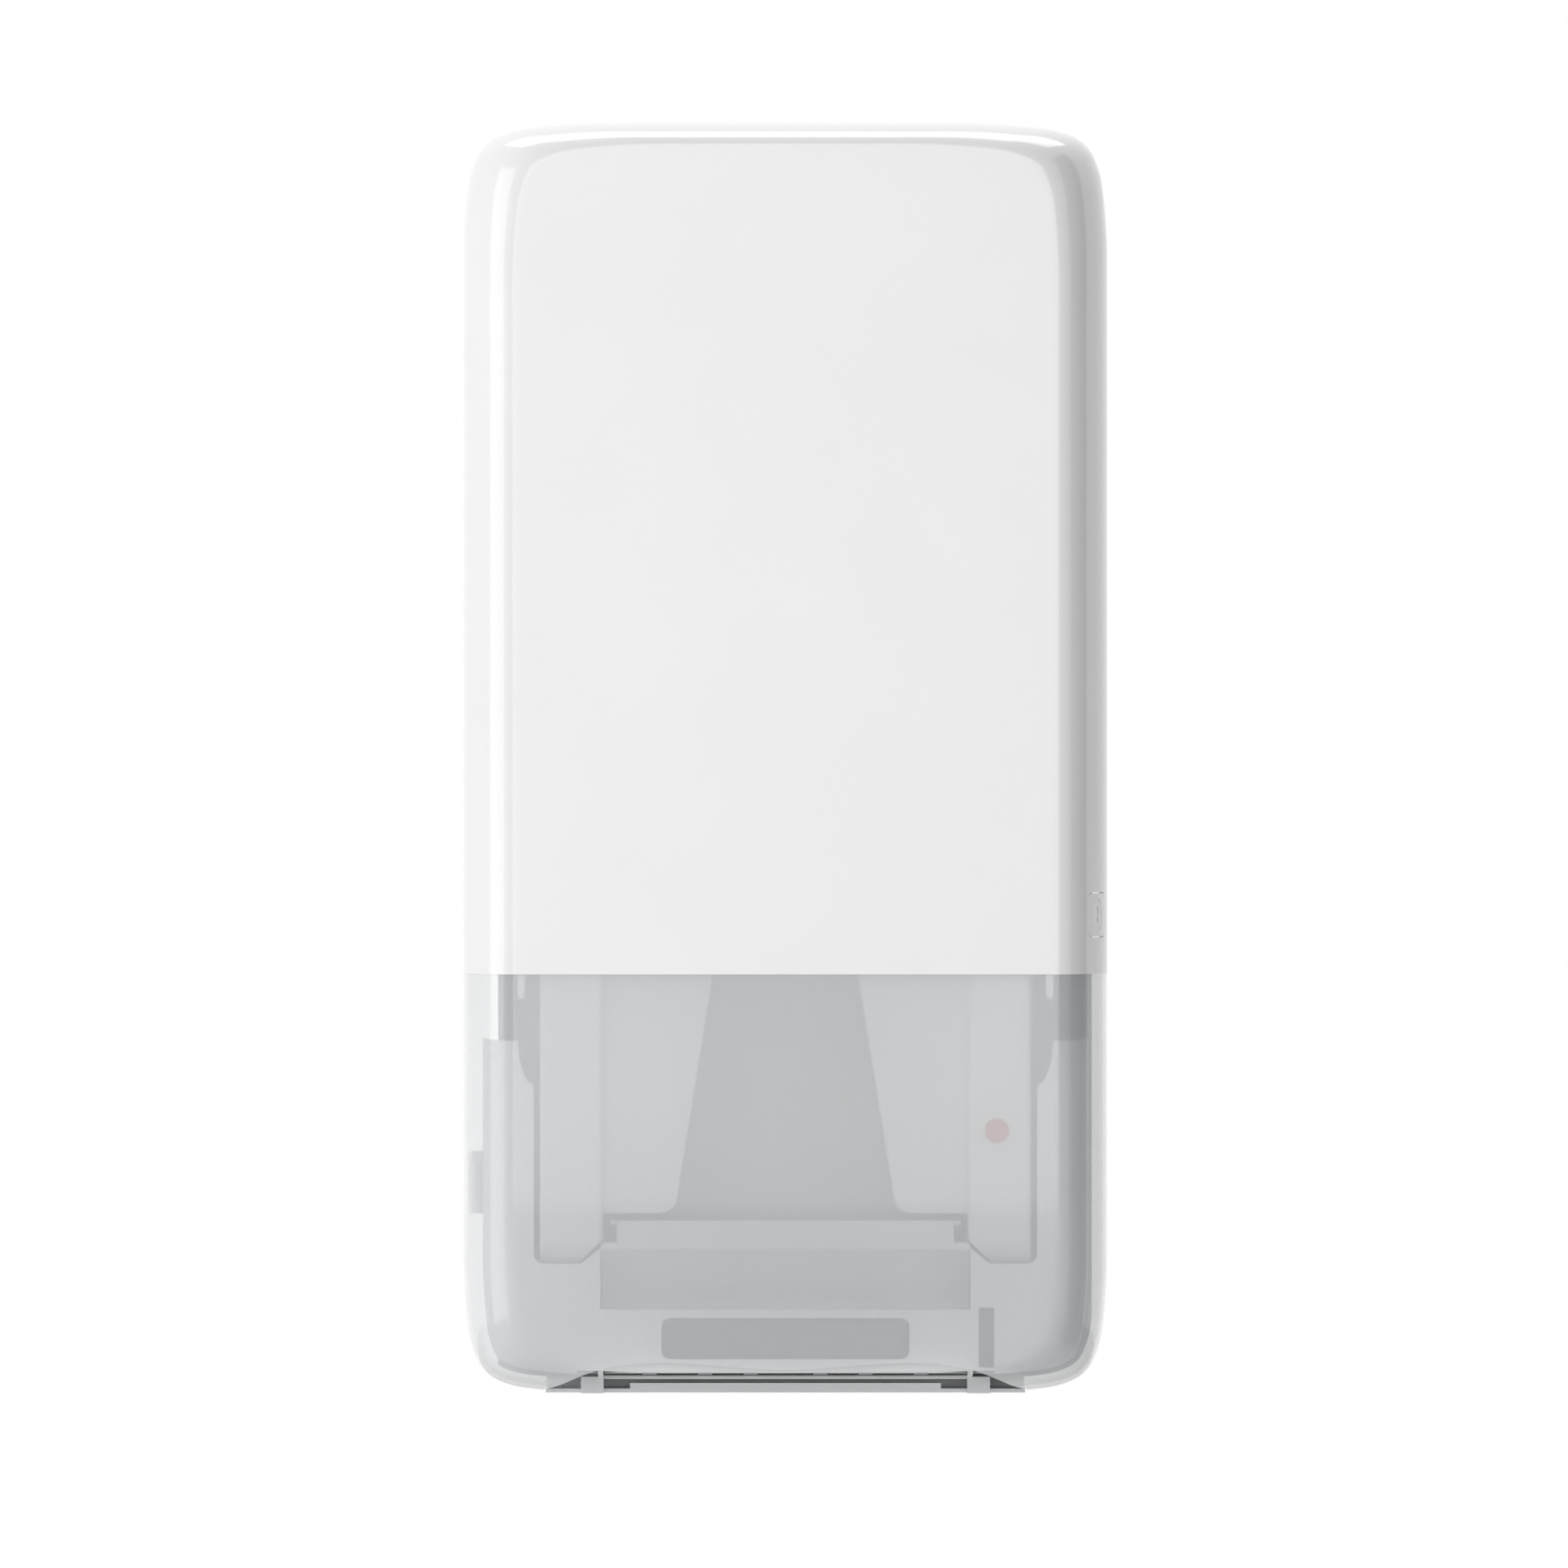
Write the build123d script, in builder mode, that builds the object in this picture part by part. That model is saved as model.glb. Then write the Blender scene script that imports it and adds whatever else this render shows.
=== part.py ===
from build123d import *
import os
from math import atan, cos, radians, sin, tan

os.makedirs("parts", exist_ok=True)

# Wall-hung towel dispenser. X is to the right, Y goes into the wall, Z is up.
# The origin is on the wall plane, at the centre of the four wall screws.
# Distances called "depth" are measured from the wall towards the user.

# Case: outside size, and the soft edge round its front
case_width = 370.0
case_height = 730.0
case_depth = 101.0
edge_side = 32.0
edge_top = 16.0
edge_depth = 64.0
cover_wall = 2.5
cover_rear_depth = 4.0
corner_arcs = ((420.0, 7.0), (60.0, 15.0), (25.0, 44.0), (60.0, 17.0), (357.0, 7.0))
edge_steps = 5

# Where the white cover meets the clear window, and the window's arched lower edge
split_height = 242.0
arch_rise = 17.0
arch_foot_rise = 4.0
arch_half_width = 139.0
arch_step_x = 119.0
arch_step_rise = 12.0
tab_x = 150.4
tab_width = 4.2
tab_drop = 14.0

# Back plate and its wall screws
plate_thickness = 3.0
plate_inset = 6.0
plate_left = 166.0
plate_right = 177.0
rim_depth = 9.5
rim_thickness = 2.5
wall_hole_radius = 2.75
wall_spacing_x = 160.0
wall_spacing_z = 400.0
wall_boss_radius = 9.0
wall_boss_height = 3.0

# Towel chute between the two side rails
chute_half_width = 112.0
rail_wall = 2.5
bar_inner = 104.0
bar_outer = 140.0
bar_depth = 92.0
bar_return = 12.0
bar_bottom = 77.0
bar_top = 672.0
bar_round = 3.0
bar_chamfer = 10.0
bar_corner = 14.0
side_bottom = 106.0
side_top = 712.0
rail_foot = 14.0
screw_radius = 1.5
screw_head_radius = 3.0
screw_head_height = 2.0
screw_length = 8.0

# Retaining flaps
flap_top = 330.0
flap_bottom = 105.5
flap_slant_top = 238.0
flap_slant_bottom = 118.0
flap_edge_top = 42.0
flap_edge_bottom = 61.5
flap_corner = 10.8
flap_thickness = 2.2
flap_depth = 86.0
flap_axis_x = 108.6
flap_axis_depth = 83.0
flap_barrel_radius = 2.9
flap_pin_radius = 1.5
flap_lug_height = 5.0
spring_wire = 0.8
flap_spring_turns = 6
flap_spring_pitch = 1.5

# Front mask below the chute
mask_inset = 11.0
mask_wall = 2.5
mask_rear_depth = 32.0
mask_top = 204.0
mask_edge = 143.5
mask_gap_bottom = 76.9
mask_gap_inner = 116.5
mask_ledge_edge = 101.5
mask_ledge = 89.0
mask_corner = 6.0
mask_notch_width = 9.0
mask_notch_height = 26.0
mask_post_x = 150.0
mask_post_radius = 5.0
mask_post_high = 150.0
mask_post_low = 34.0
recess_half_width = 105.5
recess_top = 85.3
recess_bottom = 50.7
recess_overcut = 6.0
grip_half_width = 70.7
grip_top = 45.8
grip_bottom = 22.4
grip_corner = 5.0
grip_depth = 8.0
latch_half_width = 27.0
rib_places = (-12.9, -3.2, 6.5, 14.6)
rib_width = 1.6
wheel_slot_left = 110.2
wheel_slot_right = 119.0
wheel_slot_top = 51.8
wheel_slot_bottom = 17.6
mask_foot = 15.5

# Funnel behind the mask and the floor of the chute
lip_half_width = 94.0
lip_top = 101.1
lip_depth = 82.0
floor_thickness = 2.5
funnel_end = 44.0
funnel_bend_depth = 66.0
funnel_bend = 70.0
funnel_drop_depth = 57.0
lip_notch_width = 16.0

# Rollers
running_gap = 0.05
part_gap = 0.3
front_axis_depth = 65.0
front_axis = 35.0
front_tyre_radius = 12.5
rear_axis_depth = 44.0
rear_axis = 26.0
rear_tyre_radius = 15.0
shaft_radius = 3.0
tyre_width = 8.0
tyre_places = (20.0, 46.0, 78.0)
front_tyre_places = (0.0, 33.0, 62.0, 92.0)
wheel_radius = 21.5
wheel_width = 7.4
wheel_teeth = 36
bush_radius = 5.0

# Outlet frame at the bottom
cheek_inner = 104.6
cheek_thickness = 3.0
cheek_top = 46.0
foot_outer = 117.6
foot_depth = 38.0
foot_height = 9.5
base_half_width = 138.0
base_thickness = 2.2
base_depth = 30.0
bar_half_width = 89.5
bar_rise = 5.4
guide_low = 8.0
guide_high = 10.2
guide_front_depth = 34.0
guide_rear_depth = 22.0

# Red button on the right rail
button_x = 120.4
button_height = 152.7
button_radius = 6.6
button_ring_outer = 10.3
button_proud = 3.0
button_flange_radius = 7.4
boss_wall = 1.0
boss_floor = 1.5
button_spring_turns = 3

# Support roller at the top of the chute
top_axis = 692.0
top_axis_depth = 84.0
top_roller_radius = 9.5
top_roller_half = 101.0
top_axle_radius = 2.5

# Hinges on the left and lock on the right
hinge_x = -177.0
hinge_depth = 12.0
hinge_pin_radius = 2.0
knuckle_radius = 3.2
hinge_low = 120.6
hinge_high = 600.0
bracket_knuckle = 17.6
hinge_height = 36.0
hinge_arm = 4.0
leaf_thickness = 2.0
leaf_reach = 30.0
bracket_x = -156.0
bracket_width = 12.0
bracket_arm_end = -160.0
lock_height = 275.6
lock_tilt = 20.0
lock_plate_high = 24.8
lock_plate_long = 28.0
lock_plate_corner = 4.0
lock_seam = 0.35
lock_face_radius = 8.7
lock_sleeve_radius = 11.5
lock_sleeve_length = 14.0
cam_length = 19.0
cam_width = 8.0
cam_thickness = 2.5
keeper_width = 16.0
keeper_plate = 2.5
keeper_drop = 5.0
keeper_foot = 24.0
keeper_head = 14.0

# Worked out from the sizes above
half_wide = case_width / 2
half_high = case_height / 2
flat_half_wide = half_wide - edge_side
flat_half_high = half_high - edge_top
side_depth = case_depth - edge_depth
mask_depth = case_depth - mask_inset
wheel_mid = (wheel_slot_left + wheel_slot_right) / 2


def level(height_above_bottom):
    """Z of a height measured from the bottom of the case."""
    return height_above_bottom - half_high


def case_outline(wide, high, inset):
    """Outline of the case: each quarter is a top line, tangent arcs and a side line."""
    turned = 0.0
    run = 0.0
    for radius, turn in corner_arcs:
        run += (radius - inset) * (sin(radians(turned + turn)) - sin(radians(turned)))
        turned += turn
    with BuildLine() as outline:
        last = Line((0, high), (wide - run, high))
        for radius, turn in corner_arcs:
            last = JernArc(last @ 1, last % 1, radius - inset, -turn)
        Line(last @ 1, (wide, 0))
        mirror(about=Plane.YZ)
        mirror(about=Plane.XZ)
    make_face(outline.edges())


def envelope(inset, rear_depth):
    """The case's shape, a given distance inside its skin, back to a depth from the wall."""
    with BuildPart() as body:
        for step in range(edge_steps + 1):
            turn = radians(90 * step / edge_steps)
            forward = case_depth - inset - (edge_depth - inset) * (1 - cos(turn))
            with BuildSketch(Plane.XZ.offset(forward)):
                case_outline(
                    flat_half_wide + (edge_side - inset) * sin(turn),
                    flat_half_high + (edge_top - inset) * sin(turn),
                    inset * sin(turn),
                )
        loft()
        with BuildSketch(Plane.XZ.offset(rear_depth)):
            case_outline(half_wide - inset, half_high - inset, inset)
        extrude(amount=side_depth - rear_depth)
    return body.part


def save(part, label):
    part.label = label
    export_step(part, "parts/" + label + ".step")


# Cover: one shell, parted into a white upper part and a clear window
outer_shape = envelope(0, cover_rear_depth)
inner_shape = envelope(cover_wall, cover_rear_depth / 2)
split_z = level(split_height)
slope = atan(edge_side / (edge_depth * tan(radians(lock_tilt))))
lock_x = flat_half_wide + edge_side * sin(slope)
lock_depth = case_depth - edge_depth * (1 - cos(slope))
lock_z = level(lock_height)
outward = (cos(radians(lock_tilt)), -sin(radians(lock_tilt)), 0)
rearward = (sin(radians(lock_tilt)), cos(radians(lock_tilt)), 0)
lock_plane = Plane(origin=(lock_x, -lock_depth, lock_z), x_dir=rearward, z_dir=outward)

with BuildPart() as cover_upper:
    add(outer_shape)
    add(inner_shape, mode=Mode.SUBTRACT)
    split(bisect_by=Plane.XY.offset(split_z), keep=Keep.TOP)
    with BuildSketch(lock_plane.offset(-3 * cover_wall)):
        RectangleRounded(
            lock_plate_long + 2 * lock_seam, lock_plate_high + 2 * lock_seam, lock_plate_corner + lock_seam
        )
    extrude(amount=6 * cover_wall, mode=Mode.SUBTRACT)
    tab_depth = case_depth - cover_wall
    with BuildSketch(Plane.XZ.offset(tab_depth)):
        for side in (-1, 1):
            with Locations((side * tab_x, split_z)):
                SlotCenterToCenter(2 * (tab_drop - tab_width / 2), tab_width, rotation=90)
    extrude(amount=-cover_wall)
save(cover_upper.part, "cover_upper")

with BuildPart() as cover_window:
    add(outer_shape)
    add(inner_shape, mode=Mode.SUBTRACT)
    split(bisect_by=Plane.XY.offset(split_z), keep=Keep.BOTTOM)
    with BuildSketch(Plane.XZ):
        with BuildLine():
            below = level(-10)
            foot = (arch_half_width, level(arch_foot_rise))
            step_point = (arch_step_x, level(arch_step_rise))
            crown = (0, level(arch_rise))
            rise = Spline(foot, step_point, crown, tangents=[(-1, 0.15), (-1, 0)])
            Line(foot, (arch_half_width, below))
            Line((arch_half_width, below), (0, below))
            mirror(about=Plane.YZ)
        make_face()
    extrude(amount=case_depth + 1, mode=Mode.SUBTRACT)
save(cover_window.part, "cover_window")

# Back plate with a rim and four bosses round the wall screws
screw_rows = [level(h) for h in (150, 330, 510, 680)]
rail_screw_x = chute_half_width + rail_wall + rail_foot / 2
post_spots = [(s * mask_post_x, level(h)) for s in (-1, 1) for h in (mask_post_low, mask_post_high)]
rail_spots = [(s * rail_screw_x, z) for s in (-1, 1) for z in screw_rows]
with BuildPart() as back_plate:
    with BuildSketch(Plane.XZ):
        case_outline(half_wide - plate_inset, half_high - plate_inset, plate_inset)
        with Locations(((plate_right - plate_left) / 2, 0)):
            Rectangle(plate_left + plate_right, case_height, mode=Mode.INTERSECT)
    extrude(amount=plate_thickness)
    with BuildSketch(Plane.XZ.offset(plate_thickness)):
        case_outline(half_wide - plate_inset, half_high - plate_inset, plate_inset)
        with Locations(((plate_right - plate_left) / 2, 0)):
            Rectangle(plate_left + plate_right, case_height, mode=Mode.INTERSECT)
        offset(amount=-rim_thickness, mode=Mode.SUBTRACT)
    extrude(amount=rim_depth - plate_thickness)
    with BuildSketch(Plane.XZ.offset(plate_thickness)):
        with GridLocations(wall_spacing_x, wall_spacing_z, 2, 2):
            Circle(wall_boss_radius)
    extrude(amount=wall_boss_height)
    with BuildSketch(Plane.XZ):
        with GridLocations(wall_spacing_x, wall_spacing_z, 2, 2):
            Circle(wall_hole_radius)
        with Locations(*post_spots, *rail_spots):
            Circle(screw_radius + running_gap)
    extrude(amount=plate_thickness + wall_boss_height, mode=Mode.SUBTRACT)
    with BuildSketch(Plane.XZ):
        with Locations(*post_spots, *rail_spots):
            Circle(screw_head_radius + part_gap)
    extrude(amount=screw_head_height / 2, mode=Mode.SUBTRACT)
    with BuildSketch(Plane.XZ):
        with Locations((0, level(0))):
            Rectangle(2 * (base_half_width + part_gap), 2 * (foot_height + part_gap))
    extrude(amount=rim_depth + 1, mode=Mode.SUBTRACT)
save(back_plate.part, "back_plate")

# Screws through the back plate into the rails and the mask's posts
for label, spots in (("rail_screws", rail_spots), ("mask_screws", post_spots)):
    with BuildPart() as screws:
        with BuildSketch(Plane.XZ.offset(part_gap / 2)):
            with Locations(*spots):
                Circle(screw_head_radius)
        extrude(amount=screw_head_height / 2 - part_gap / 2)
        with BuildSketch(Plane.XZ.offset(screw_head_height / 2)):
            with Locations(*spots):
                Circle(screw_radius)
        extrude(amount=screw_length)
    save(screws.part, label)


# Side rails: chute wall, hollow front bar, feet, and lugs for the flap pin
def side_rail(side):
    bar_mid = side * (bar_inner + bar_outer) / 2
    wall_mid = side * (chute_half_width + rail_wall / 2)
    bar_width = bar_outer - bar_inner
    back_of_bar = bar_depth - bar_return
    with BuildPart() as rail:
        with BuildSketch(Plane.XZ.offset(back_of_bar)):
            with BuildLine() as bar_front:
                Polyline(
                    (side * bar_inner, level(bar_top)),
                    (side * bar_inner, level(bar_bottom) + bar_corner),
                    (side * (bar_inner + bar_corner), level(bar_bottom)),
                    (side * bar_outer, level(bar_bottom)),
                    (side * bar_outer, level(bar_top)),
                    close=True,
                )
            make_face(bar_front.edges())
        extrude(amount=bar_return)
        fillet(rail.edges().filter_by(Axis.Z).group_by(Axis.Y)[0], bar_round)
        with BuildSketch(Plane.YZ.offset(bar_mid - bar_width)):
            with BuildLine() as toe:
                Polyline(
                    (-bar_depth, level(bar_bottom) + bar_chamfer),
                    (-back_of_bar - rail_wall, level(bar_bottom)),
                    (-bar_depth, level(bar_bottom) - bar_chamfer),
                    (-bar_depth - bar_chamfer, level(bar_bottom) - bar_chamfer),
                    (-bar_depth - bar_chamfer, level(bar_bottom) + bar_chamfer),
                    close=True,
                )
            make_face(toe.edges())
        extrude(amount=2 * bar_width, mode=Mode.SUBTRACT)
        with BuildSketch(Plane.XY.offset(level(bar_bottom) + bar_corner + rail_wall)):
            with Locations((bar_mid, -back_of_bar - (bar_return - rail_wall) / 2)):
                Rectangle(bar_width - 2 * rail_wall, bar_return - rail_wall)
        extrude(amount=bar_top - bar_bottom - bar_corner - 2 * rail_wall, mode=Mode.SUBTRACT)
        with BuildSketch(Plane.XY.offset(level(side_bottom))):
            with Locations((wall_mid, -(plate_thickness + bar_depth - rail_wall) / 2)):
                Rectangle(rail_wall, bar_depth - rail_wall - plate_thickness)
        extrude(amount=side_top - side_bottom)
        for z in screw_rows:
            with BuildSketch(Plane.XZ.offset(plate_thickness)):
                with Locations((side * rail_screw_x, z)):
                    Rectangle(rail_foot, rail_foot)
            extrude(amount=screw_length)
        with BuildSketch(Plane.XZ.offset(plate_thickness)):
            with Locations(*[(side * rail_screw_x, z) for z in screw_rows]):
                Circle(screw_radius + running_gap)
        extrude(amount=screw_length, mode=Mode.SUBTRACT)
        with BuildSketch(Plane.XY.offset(level(flap_bottom) - part_gap)):
            pocket_back = back_of_bar - 1
            pocket_front = flap_depth + part_gap
            with Locations((side * (bar_inner + chute_half_width) / 2, -(pocket_front + pocket_back) / 2)):
                Rectangle(chute_half_width - bar_inner + 0.01, pocket_front - pocket_back)
        extrude(amount=flap_top - flap_bottom + 2 * part_gap, mode=Mode.SUBTRACT)
        for height in (flap_bottom - flap_lug_height - part_gap, flap_top + part_gap):
            with BuildSketch(Plane.XY.offset(level(height))):
                with Locations((side * (flap_axis_x + 1.5), -flap_axis_depth)):
                    Rectangle(2 * flap_barrel_radius + 3, 2 * flap_barrel_radius + 1)
            extrude(amount=flap_lug_height)
        with BuildSketch(Plane.XY.offset(level(flap_bottom) - 2 * flap_lug_height)):
            with Locations((side * flap_axis_x, -flap_axis_depth)):
                Circle(flap_pin_radius + running_gap)
        extrude(amount=flap_top - flap_bottom + 4 * flap_lug_height, mode=Mode.SUBTRACT)
        with BuildSketch(Plane.YZ.offset(side * (chute_half_width - 1))):
            with Locations((-top_axis_depth, level(top_axis))):
                Circle(bush_radius)
        extrude(amount=side * (rail_wall + 2), mode=Mode.SUBTRACT)
        if side > 0:
            add(button_boss())
            with BuildSketch(Plane.XZ.offset(bar_depth - bar_return + boss_floor)):
                with Locations((button_x, level(button_height))):
                    Circle(button_flange_radius + part_gap)
            extrude(amount=bar_return - rail_wall - boss_floor, mode=Mode.SUBTRACT)
            with BuildSketch(Plane.XZ.offset(bar_depth - rail_wall - 1)):
                with Locations((button_x, level(button_height))):
                    Circle(button_radius + part_gap / 2)
            extrude(amount=rail_wall + 2, mode=Mode.SUBTRACT)
    return rail.part


def button_boss():
    """Cup behind the bar that guides the button and seats its spring."""
    with BuildPart() as boss:
        with BuildSketch(Plane.XZ.offset(bar_depth - bar_return)):
            with Locations((button_x, level(button_height))):
                Circle(button_flange_radius + part_gap + boss_wall)
        extrude(amount=bar_return - rail_wall)
    return boss.part


save(side_rail(-1), "left_side_rail")
save(side_rail(1), "right_side_rail")


# Retaining flaps: plate with a slanted inner edge, and a barrel round the hinge pin
def flap(side):
    barrel_low = flap_bottom + (flap_spring_turns + 1) * flap_spring_pitch
    with BuildPart() as leaf:
        with BuildSketch(Plane.XZ.offset(flap_depth - flap_thickness)) as face:
            with BuildLine() as edge:
                Polyline(
                    (side * flap_axis_x, level(flap_top)),
                    (side * flap_edge_top, level(flap_top)),
                    (side * flap_edge_top, level(flap_slant_top)),
                    (side * flap_edge_bottom, level(flap_slant_bottom)),
                    (side * flap_edge_bottom, level(flap_bottom)),
                    (side * flap_axis_x, level(flap_bottom)),
                    close=True,
                )
            make_face(edge.edges())
            free_edge = [v for v in face.vertices() if abs(v.X) < flap_edge_bottom + 1]
            low_corner = [v for v in free_edge if v.Y < level(flap_slant_bottom) - 1]
            high_corner = [v for v in free_edge if v.Y > level(flap_top) - 1]
            fillet(low_corner + high_corner, flap_corner)
        extrude(amount=flap_thickness)
        with BuildSketch(Plane.XY.offset(level(flap_bottom))):
            with Locations((side * flap_axis_x, -flap_axis_depth)):
                Rectangle(2 * flap_barrel_radius + 2, 2 * flap_barrel_radius + 2)
        extrude(amount=barrel_low - flap_bottom, mode=Mode.SUBTRACT)
        with BuildSketch(Plane.XY.offset(level(barrel_low))):
            with Locations((side * flap_axis_x, -flap_axis_depth)):
                Circle(flap_barrel_radius)
        extrude(amount=flap_top - barrel_low)
        with BuildSketch(Plane.XY.offset(level(barrel_low))):
            with Locations((side * flap_axis_x, -flap_axis_depth)):
                Circle(flap_pin_radius + running_gap)
        extrude(amount=flap_top - barrel_low, mode=Mode.SUBTRACT)
    return leaf.part


def coil(base, direction, radius, turns, pitch, wire):
    """Open coil of round wire: a helix swept in one tube."""
    with BuildPart() as spring:
        with BuildLine() as path:
            Helix(pitch, pitch * turns, radius, center=base, direction=direction)
        with BuildSketch(Plane(origin=path.line @ 0, z_dir=path.line % 0)):
            Circle(wire / 2)
        sweep(is_frenet=True)
    print("coil of", turns, "turns, least gap between turns", round(pitch - wire, 2), "mm")
    return spring.part


for side, name in ((-1, "left"), (1, "right")):
    save(flap(side), name + "_flap")
    with BuildPart() as flap_pin:
        with BuildSketch(Plane.XY.offset(level(flap_bottom) - flap_lug_height)):
            with Locations((side * flap_axis_x, -flap_axis_depth)):
                Circle(flap_pin_radius)
        extrude(amount=flap_top - flap_bottom + 2 * flap_lug_height)
    save(flap_pin.part, name + "_flap_pin")
    spring_foot = flap_bottom + spring_wire
    spring_base = (side * flap_axis_x, -flap_axis_depth, level(spring_foot))
    spring_radius = flap_pin_radius + spring_wire / 2 + part_gap
    upwards = (0, 0, 1)
    flap_coil = coil(spring_base, upwards, spring_radius, flap_spring_turns, flap_spring_pitch, spring_wire)
    save(flap_coil, name + "_flap_spring")

# Front mask: a shell that follows the case, cut round the bars, the recess and the grip
mask_outer = envelope(mask_inset, mask_rear_depth)
mask_inner = envelope(mask_inset + mask_wall, mask_rear_depth - 1)
with BuildPart() as front_mask:
    add(mask_outer)
    add(mask_inner, mode=Mode.SUBTRACT)
    split(bisect_by=Plane.XY.offset(level(mask_top)), keep=Keep.BOTTOM)
    with BuildSketch(Plane.XZ.offset(mask_rear_depth)):
        with BuildLine():
            Polyline(
                (-mask_edge, level(mask_top) + 1),
                (-mask_edge, level(mask_gap_bottom)),
                (-mask_gap_inner, level(mask_gap_bottom)),
                (-mask_ledge_edge, level(mask_ledge)),
                (mask_ledge_edge, level(mask_ledge)),
                (mask_gap_inner, level(mask_gap_bottom)),
                (mask_edge, level(mask_gap_bottom)),
                (mask_edge, level(mask_top) + 1),
                close=True,
            )
        make_face()
        corners = [v for v in vertices() if abs(v.X) > mask_edge - 1 and v.Y < level(mask_gap_bottom) + 1]
        fillet(corners, mask_corner)
    extrude(amount=case_depth, mode=Mode.SUBTRACT)
    with BuildSketch(Plane.XZ.offset(mask_depth - mask_wall - 2)):
        for side in (-1, 1):
            with Locations((side * mask_edge, level(mask_top) + 1)):
                Ellipse(mask_notch_width, mask_notch_height)
        with Locations((0, level((recess_top + recess_overcut + recess_bottom) / 2))):
            Rectangle(2 * recess_half_width, recess_top + recess_overcut - recess_bottom)
        with Locations((0, level((grip_top + grip_bottom) / 2))):
            RectangleRounded(2 * grip_half_width, grip_top - grip_bottom, grip_corner)
        with Locations((wheel_mid, level((wheel_slot_top + wheel_slot_bottom) / 2))):
            RectangleRounded(wheel_slot_right - wheel_slot_left, wheel_slot_top - wheel_slot_bottom, 1)
    extrude(amount=mask_wall + 4, mode=Mode.SUBTRACT)
    with BuildSketch(Plane.XZ.offset(mask_rear_depth - 1)):
        with Locations((0, level(0))):
            Rectangle(2 * (wheel_slot_right + 0.5), 2 * mask_foot)
    extrude(amount=mask_depth - mask_wall - mask_rear_depth + 1, mode=Mode.SUBTRACT)
    with BuildSketch(Plane.XZ.offset(plate_thickness)):
        with Locations(*post_spots):
            Circle(mask_post_radius)
    extrude(amount=mask_depth - mask_wall / 2 - plate_thickness)
    with BuildSketch(Plane.XZ.offset(plate_thickness)):
        with Locations(*post_spots):
            Circle(screw_radius + running_gap)
    extrude(amount=screw_length, mode=Mode.SUBTRACT)
save(front_mask.part, "front_mask")

# Funnel that leads the towel off the bars down to the rollers, with its slanted lip
with BuildPart() as funnel_guide:
    funnel_end_z = level(funnel_end)
    with BuildSketch(Plane.YZ.offset(-recess_half_width + part_gap)):
        with BuildLine():
            top_lip = (-lip_depth, level(lip_top))
            low_lip = (-mask_depth, level(recess_top))
            lip_back = (-mask_depth + floor_thickness, level(recess_top) - 1)
            front_bend = (-funnel_bend_depth, level(funnel_bend))
            front_low = (-funnel_drop_depth, level(recess_bottom + 3))
            rear_low = (-funnel_drop_depth + floor_thickness, level(recess_bottom + 4))
            rear_bend = (front_bend[0] + floor_thickness, front_bend[1] + floor_thickness)
            face = Line(top_lip, low_lip)
            under = Line(face @ 1, lip_back)
            sweep_down = ThreePointArc(under @ 1, front_bend, front_low)
            drop = Line(sweep_down @ 1, (-funnel_drop_depth, funnel_end_z + 2.4))
            toe = Line(drop @ 1, (-funnel_drop_depth + floor_thickness, funnel_end_z + 2.4))
            rise = Line(toe @ 1, rear_low)
            back_arc = ThreePointArc(rise @ 1, rear_bend, (-lip_depth + 2, level(recess_top) + 3))
            inner = Line(back_arc @ 1, (-lip_depth + 3, level(lip_top)))
            Line(inner @ 1, face @ 0)
        make_face()
    extrude(amount=2 * (recess_half_width - part_gap))
    with BuildSketch(Plane.XZ.offset(lip_depth - 4)):
        for side in (-1, 1):
            with Locations((side * (lip_half_width + 10), level(lip_top))):
                Rectangle(lip_notch_width, 2 * (lip_top - recess_top - 3.5))
    extrude(amount=20, mode=Mode.SUBTRACT)
save(funnel_guide.part, "funnel_guide")

# Chute floor between the rails, from the back plate to the funnel's lip
with BuildPart() as chute_floor:
    with BuildSketch(Plane.XZ.offset(plate_thickness)):
        with Locations((0, level(lip_top) - floor_thickness / 2)):
            Rectangle(2 * (lip_half_width + 6), floor_thickness)
    extrude(amount=lip_depth - 3 - plate_thickness)
    with BuildSketch(Plane.XZ.offset(plate_thickness)):
        with Locations((0, level(lip_top) - floor_thickness / 2 - 6)):
            Rectangle(2 * (lip_half_width + 6), floor_thickness + 12)
    extrude(amount=floor_thickness)
save(chute_floor.part, "chute_floor")

# Finger pan behind the grip opening
with BuildPart() as grip_pan:
    pan_front = mask_depth - mask_wall
    with BuildSketch(Plane.XZ.offset(pan_front - grip_depth)):
        with Locations((0, level((grip_top + grip_bottom) / 2))):
            RectangleRounded(2 * grip_half_width + 5, grip_top - grip_bottom + 4, grip_corner + 1)
    extrude(amount=grip_depth)
    with BuildSketch(Plane.XZ.offset(pan_front - grip_depth + 1.5)):
        with Locations((0, level((grip_top + grip_bottom) / 2))):
            RectangleRounded(2 * grip_half_width + 1, grip_top - grip_bottom + 0.8, grip_corner)
    extrude(amount=grip_depth, mode=Mode.SUBTRACT)
save(grip_pan.part, "grip_pan")

# Ribbed latch that slides down in the pan, with a hook each side
with BuildPart() as grip_latch:
    latch_back = mask_depth - mask_wall - grip_depth + 1.5 + part_gap
    with BuildSketch(Plane.XZ.offset(latch_back)):
        with Locations((0, level((grip_top + grip_bottom) / 2 + 1))):
            RectangleRounded(2 * latch_half_width, grip_top - grip_bottom - 6, 3)
    extrude(amount=2.5)
    with BuildSketch(Plane.XZ.offset(latch_back + 2.5)):
        for x in rib_places:
            with Locations((x, level((grip_top + grip_bottom) / 2 + 1))):
                Rectangle(rib_width, grip_top - grip_bottom - 9)
    extrude(amount=1.5)
save(grip_latch.part, "grip_latch")

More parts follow.
